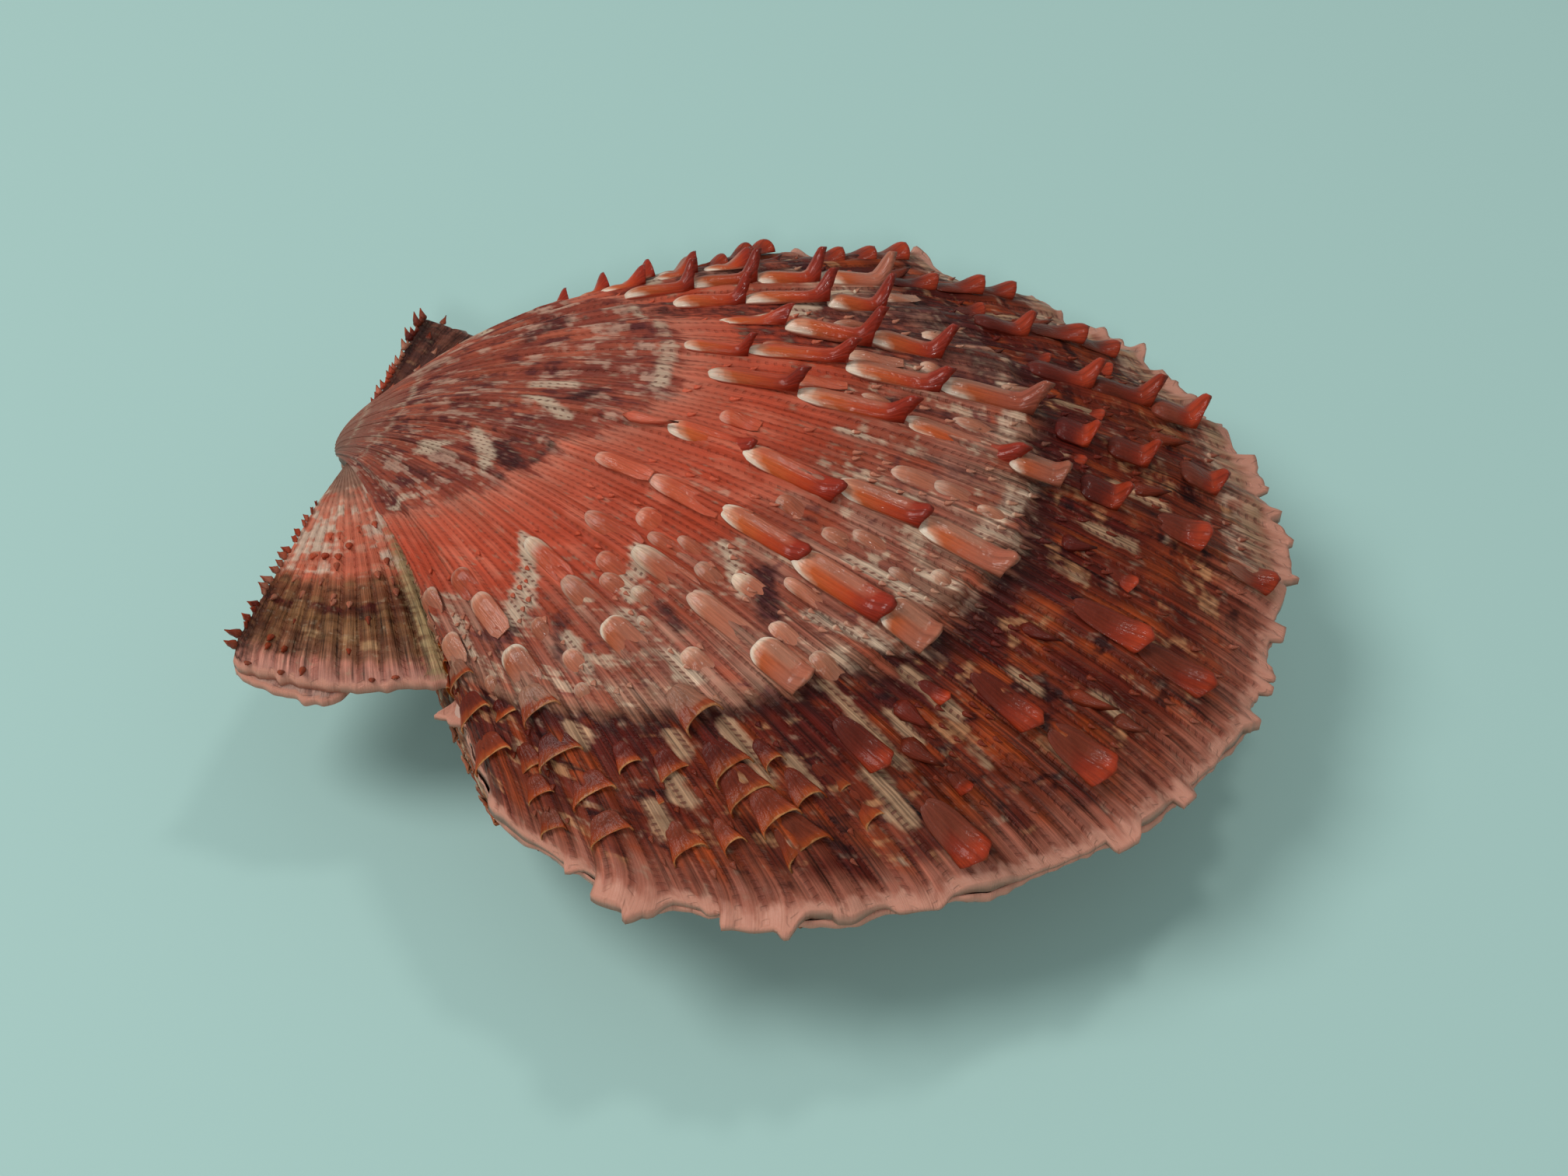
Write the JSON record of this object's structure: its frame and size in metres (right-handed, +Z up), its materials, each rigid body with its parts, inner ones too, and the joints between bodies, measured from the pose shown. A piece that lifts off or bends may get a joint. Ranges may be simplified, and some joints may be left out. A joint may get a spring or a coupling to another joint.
{
  "type": "scallop shell",
  "caption": "Spiny scallop shell with two domed, ribbed valves hinged at a straight line with unequal ears, closed and resting on the flatter valve.",
  "frame": {"origin": "on the surface that the shell rests on, under the middle of its bounding box", "axes": "+X from the hinge line to the ventral margin, +Y from the anterior ear with the notch to the posterior ear, +Z up through the more domed valve"},
  "size_m": [0.0566, 0.055, 0.0205],
  "materials": {
    "upper_valve": "semi-gloss natural shell, coral red to dark brown with pale mottling",
    "lower_valve": "satin natural shell, orange brown with pale spots and a pink margin",
    "ligament": "dried horny ligament"
  },
  "bodies": {
    "root": {"upper_valve": "upper_valve", "lower_valve": "lower_valve", "hinge_ligament": "ligament"}
  },
  "joints": []
}
